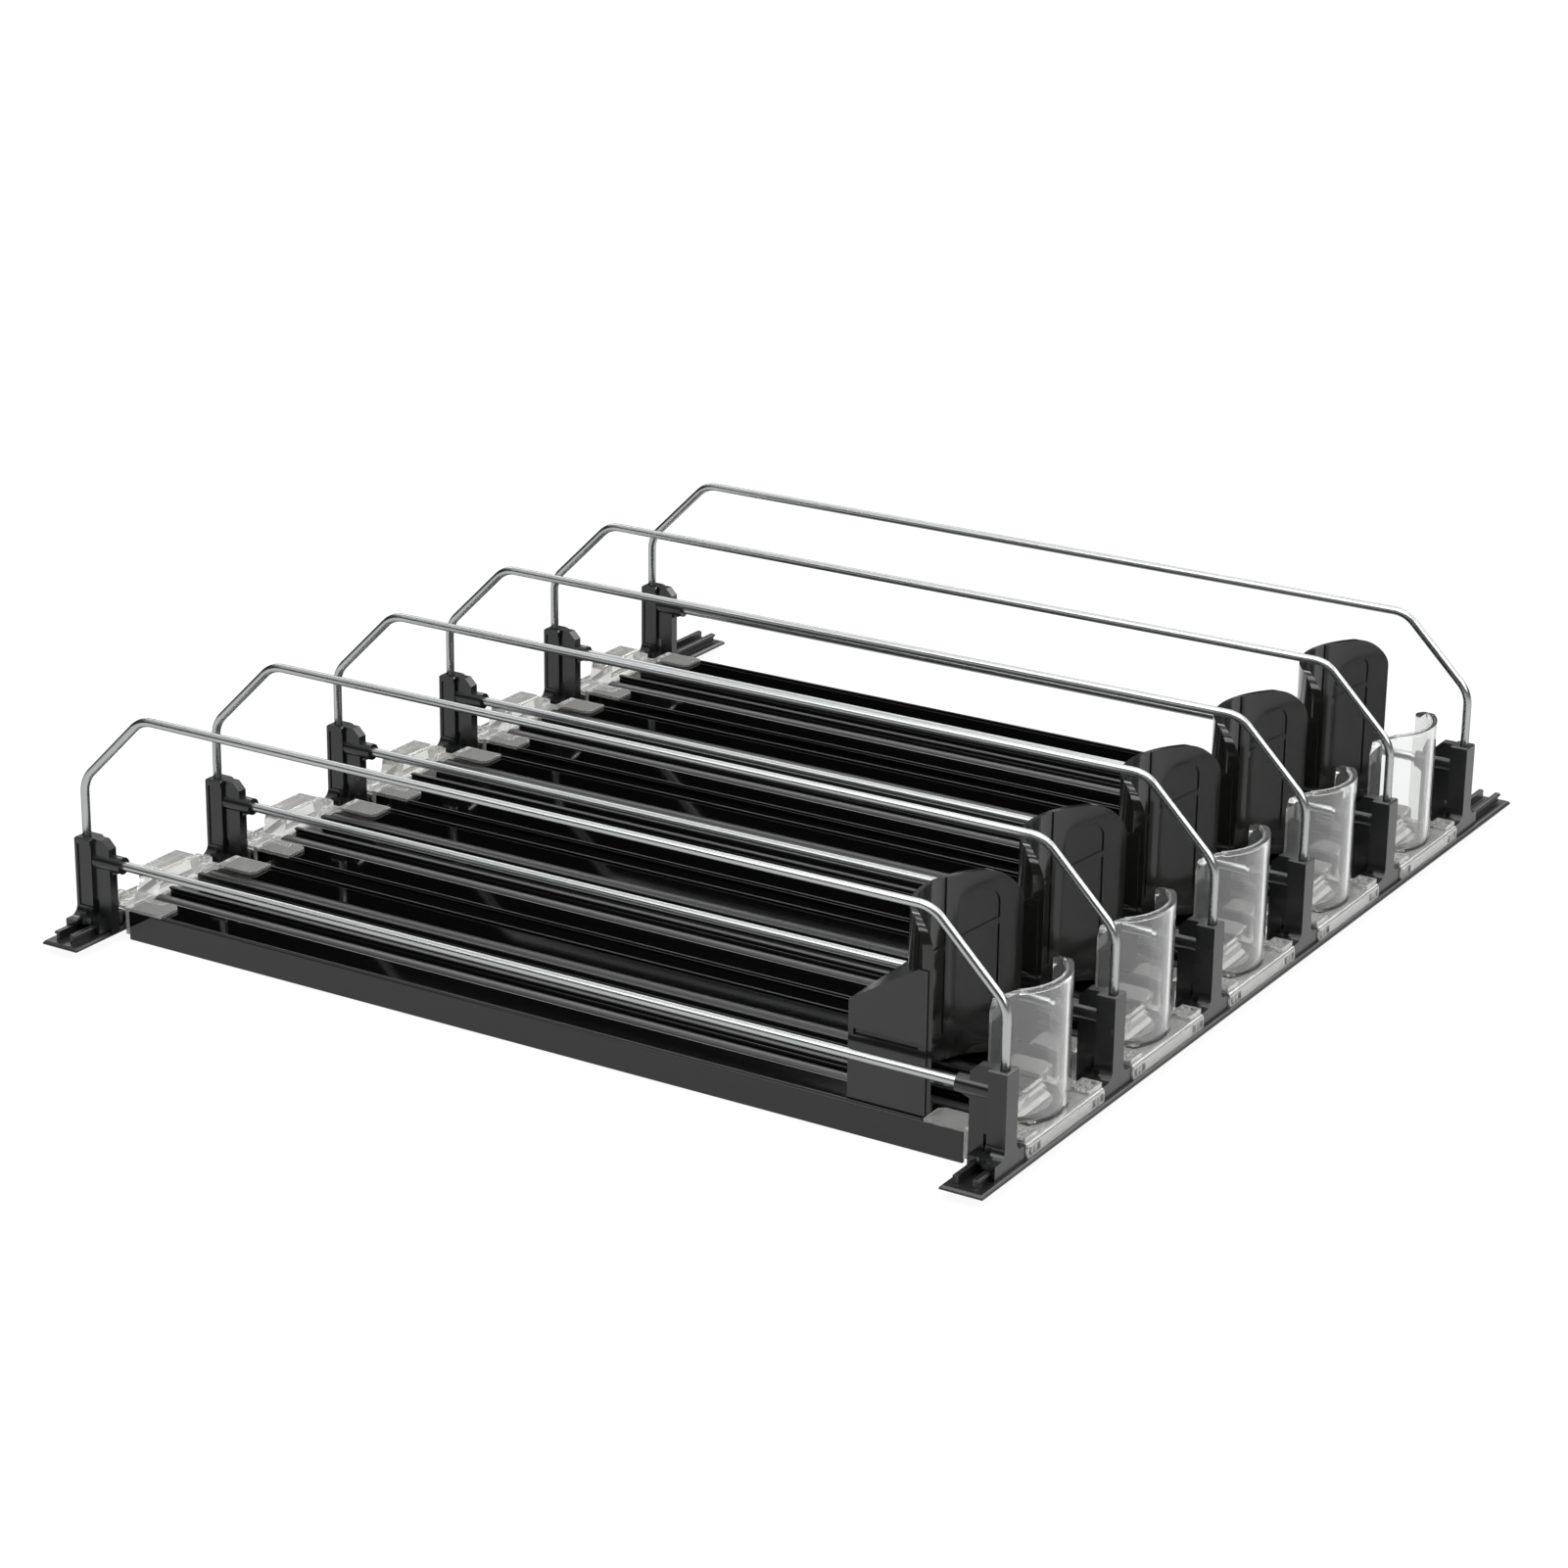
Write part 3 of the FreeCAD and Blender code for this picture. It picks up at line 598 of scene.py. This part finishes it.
# %% Clear caps and milky stops
cap_round = 0.2 * mm
stop_round = 0.3 * mm
outer_face = {"front_cap_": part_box("front_cap_1")[0].y, "rear_cap_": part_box("rear_cap_1")[1].y}
see_through_kinds = {"front_cap_": (clear_finish, cap_round),
                     "rear_cap_": (clear_finish, cap_round),
                     "front_stop_": (milky_finish, stop_round)}
for kind, (finish, edge_width) in see_through_kinds.items():
    shape = merged_copy(kind + "1")
    if kind in outer_face:
        low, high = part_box(kind + "1")
        print("Pockets sunk:", sink_pockets(shape, low, high, outer_face[kind]))
    edge_count = round_edges(shape, edge_width)
    for label in lane_labels:
        finished_piece(shape, kind + label + "_moulding", kind + label, "root", finish,
                       step_between(kind + "1", kind + label))
    print(kind, edge_count, "rounded edges,", len(shape.faces), "faces")

# %% [markdown]
# The pushers are the only parts that move. Each rides on its own body, so that the whole unit
# can be slid to the back of its lane.

# %% Pushers
pusher_round = 0.45 * mm
pusher_shape = merged_copy("pusher_1")
edge_count = round_edges(pusher_shape, pusher_round, segments=3)
for label in lane_labels:
    pusher = "pusher_" + label
    finished_piece(pusher_shape, pusher + "_moulding", pusher, "pusher_unit_" + label,
                   pusher_finish, step_between("pusher_1", pusher))
print("Pushers:", edge_count, "rounded edges each")

# %% [markdown]
# A flat steel strip winds up on an axle in each pusher, and its free end is hooked on the front
# cap. The CAD solid is a plain ring with a tongue. The real coil is a spiral, so one edge of the
# strip is extruded, turned and drawn in a little again and again, and the skin gets its thickness
# at the end.

# %% Spring coil
coil_radius = 3.6 * mm
strip_wall = 0.3 * mm
turn_spacing = 1.25 * strip_wall
coil_turns = 4
steps_per_turn = 28
spring_low, spring_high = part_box("spring_1")
strip_half = (spring_high.x - spring_low.x) / 2
spring_x = (spring_high.x + spring_low.x) / 2
axle = Vector((spring_x, spring_high.y - coil_radius, spring_high.z - coil_radius))
strip_z = axle.z - coil_radius + strip_wall / 2


def strip_edge(shape, y, z):
    ends = [shape.verts.new((spring_x + side * strip_half, y, z)) for side in (-1, 1)]
    return [shape.edges.new(ends)]


def thicken(shape):
    bmesh.ops.solidify(shape, geom=shape.faces[:], thickness=strip_wall)
    bmesh.ops.recalc_face_normals(shape, faces=shape.faces)


coil_shape = bmesh.new()
rim = strip_edge(coil_shape, axle.y, strip_z)
outer_radius = coil_radius - strip_wall / 2
draw_in = (outer_radius - coil_turns * turn_spacing) / outer_radius
step_scale = draw_in ** (1 / (coil_turns * steps_per_turn))
step_turn = Matrix.Rotation(-2 * math.pi / steps_per_turn, 3, "X")
for step in range(coil_turns * steps_per_turn):
    rim = run_on(coil_shape, rim, Vector((0, 0, 0)))
    ends = list(rim[0].verts)
    bmesh.ops.rotate(coil_shape, verts=ends, cent=axle, matrix=step_turn)
    bmesh.ops.scale(coil_shape, verts=ends, vec=(1, step_scale, step_scale),
                    space=Matrix.Translation(-axle))
thicken(coil_shape)
print("Coil has", len(coil_shape.faces), "faces")

# %% [markdown]
# The straight part of the strip starts at a hook in the front cap and ends under the coil. It is
# drawn in many short steps.

# %% Spring strip
strip_steps = 16
strip_shape = bmesh.new()
hook_y = spring_low.y + strip_wall / 2
rim = strip_edge(strip_shape, hook_y, spring_low.z)
rim = run_on(strip_shape, rim, Vector((0, 0, strip_z - spring_low.z)))
for step in range(strip_steps):
    rim = run_on(strip_shape, rim, Vector((0, (axle.y - hook_y) / strip_steps, 0)))
thicken(strip_shape)
print("Strip has", len(strip_shape.faces), "faces")

# %% [markdown]
# The coil rides on the pusher like any rigid piece. The strip has no CAD node of its own to
# replace, so it is only given its finish.

# %% Springs in their lanes
for label in lane_labels:
    spring = "spring_" + label
    body = "pusher_unit_" + label
    move = step_between("spring_1", spring)
    finished_piece(coil_shape, spring + "_coil", spring, body, spring_finish, move)
    data = bpy.data.meshes.new(spring + "_strip")
    strip_shape.to_mesh(data)
    data.transform(move)
    data.materials.append(spring_finish)
    strip = bpy.data.objects.new(spring + "_strip", data)
    bpy.context.scene.collection.objects.link(strip)
    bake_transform(strip)
print("Springs are in", len(lane_labels), "lanes")

# %% [markdown]
# The photograph stands on pure white with hardly a shadow. Turning up the lights would bleach the
# object, so the table only shows white to the camera and in reflections: Light Path tells which
# ray is asking. A small share of the real, lit table stays in the mix and keeps the soft shadow.

# %% White table
shown_white_share = 0.93
table_grey = 0.86
table_half_width = 12.0
table_gap = 0.1 * mm

table_material = bpy.data.materials.new("white_table")
table_material.use_nodes = True
tree = table_material.node_tree
tree.nodes.clear()
ray = add_node(tree, "ShaderNodeLightPath").outputs
seen = math_node(tree, "MAXIMUM", ray["Is Camera Ray"], ray["Is Glossy Ray"])
seen = math_node(tree, "MAXIMUM", seen, ray["Is Transmission Ray"])
white_share = math_node(tree, "MULTIPLY", seen, shown_white_share)
lit = add_node(tree, "ShaderNodeBsdfDiffuse",
               {"Color": (table_grey, table_grey, table_grey, 1)})
glow = add_node(tree, "ShaderNodeEmission", {"Color": (1, 1, 1, 1), "Strength": 1.0})
mixed = add_node(tree, "ShaderNodeMixShader",
                 {"Fac": white_share, 1: lit.outputs["BSDF"], 2: glow.outputs["Emission"]})
add_node(tree, "ShaderNodeOutputMaterial", {"Surface": mixed.outputs["Shader"]})

table_shape = bmesh.new()
bmesh.ops.create_grid(table_shape, x_segments=1, y_segments=1, size=table_half_width,
                      matrix=Matrix.Translation((0, 0, cad_bounds[0].z - table_gap)))
table_data = bpy.data.meshes.new("table_top")
table_shape.to_mesh(table_data)
table_data.materials.append(table_material)
table_top = bpy.data.objects.new("table_top", table_data)
bpy.context.scene.collection.objects.link(table_top)
print("The table is ready")

# %% [markdown]
# Black gloss shows what it faces, so the surroundings are part of its colour. The decks of the
# tracks face the far wall, which is dark in the photograph: that keeps them black. The upright
# faces mirror the white table and turn grey. The world is dark low down and bright overhead, and
# the brightness rises between two heights, given as the upright part of the ray's direction.

# %% Surroundings
dark_below = 0.45
bright_above = 0.85
dome_strength = 0.9

world = bpy.data.worlds.new("studio")
bpy.context.scene.world = world
world.use_nodes = True
tree = world.node_tree
tree.nodes.clear()
ray = add_node(tree, "ShaderNodeLightPath").outputs
direction = add_node(tree, "ShaderNodeTexCoord").outputs["Generated"]
rise = add_node(tree, "ShaderNodeSeparateXYZ", {"Vector": direction}).outputs["Z"]
dome = add_node(tree, "ShaderNodeMapRange",
                {"Value": rise, "From Min": dark_below, "From Max": bright_above,
                 "To Min": 0.0, "To Max": dome_strength},
                interpolation_type="SMOOTHSTEP").outputs["Result"]
studio = add_node(tree, "ShaderNodeBackground", {"Color": (1, 1, 1, 1), "Strength": dome})
white = add_node(tree, "ShaderNodeBackground", {"Color": (1, 1, 1, 1), "Strength": 1.0})
seen = math_node(tree, "MAXIMUM", ray["Is Camera Ray"], ray["Is Transmission Ray"])
mixed = add_node(tree, "ShaderNodeMixShader",
                 {"Fac": seen, 1: studio.outputs["Background"], 2: white.outputs["Background"]})
add_node(tree, "ShaderNodeOutputWorld", {"Surface": mixed.outputs["Shader"]})
print("The surroundings are ready")

# %% [markdown]
# Three soft boxes light the object: a wide one overhead, one from the front of the lanes and a
# weaker one from the camera's side. Two long narrow boxes stand far behind and on the right, just
# higher than the flat decks can mirror: rounded edges and rib crests catch them as light lines.
# Each is placed by its direction from the object.

# %% Soft boxes
def soft_box(name, azimuth, elevation, distance, size, power):
    """Azimuth 0 stands in front of the lanes, -90 on their left."""
    turn = math.radians(azimuth)
    tilt = math.radians(elevation)
    away = Vector((math.sin(turn) * math.cos(tilt), -math.cos(turn) * math.cos(tilt),
                   math.sin(tilt)))
    data = bpy.data.lights.new(name, "AREA")
    data.shape = "RECTANGLE"
    data.size = size[0]
    data.size_y = size[1]
    data.energy = power
    lamp = bpy.data.objects.new(name, data)
    bpy.context.scene.collection.objects.link(lamp)
    lamp.matrix_world = (Matrix.Translation(away * distance)
                         @ away.to_track_quat("Z", "Y").to_matrix().to_4x4())
    return lamp


# name: azimuth and elevation in degrees, distance and size in metres, power in watts
soft_boxes = {
    "overhead_box": (-60, 80, 1.6, (1.4, 1.4), 22),
    "camera_side_box": (-110, 45, 1.8, (1.0, 0.8), 10),
    "front_box": (-5, 35, 1.8, (1.2, 0.7), 16),
    "far_strip": (121, 37, 2.4, (3.0, 0.8), 30),
    "right_strip": (62, 32, 2.4, (2.0, 0.6), 18),
}
for name, values in soft_boxes.items():
    soft_box(name, *values)
bpy.context.scene.view_settings.view_transform = "Standard"
print("Soft boxes:", ", ".join(soft_boxes))
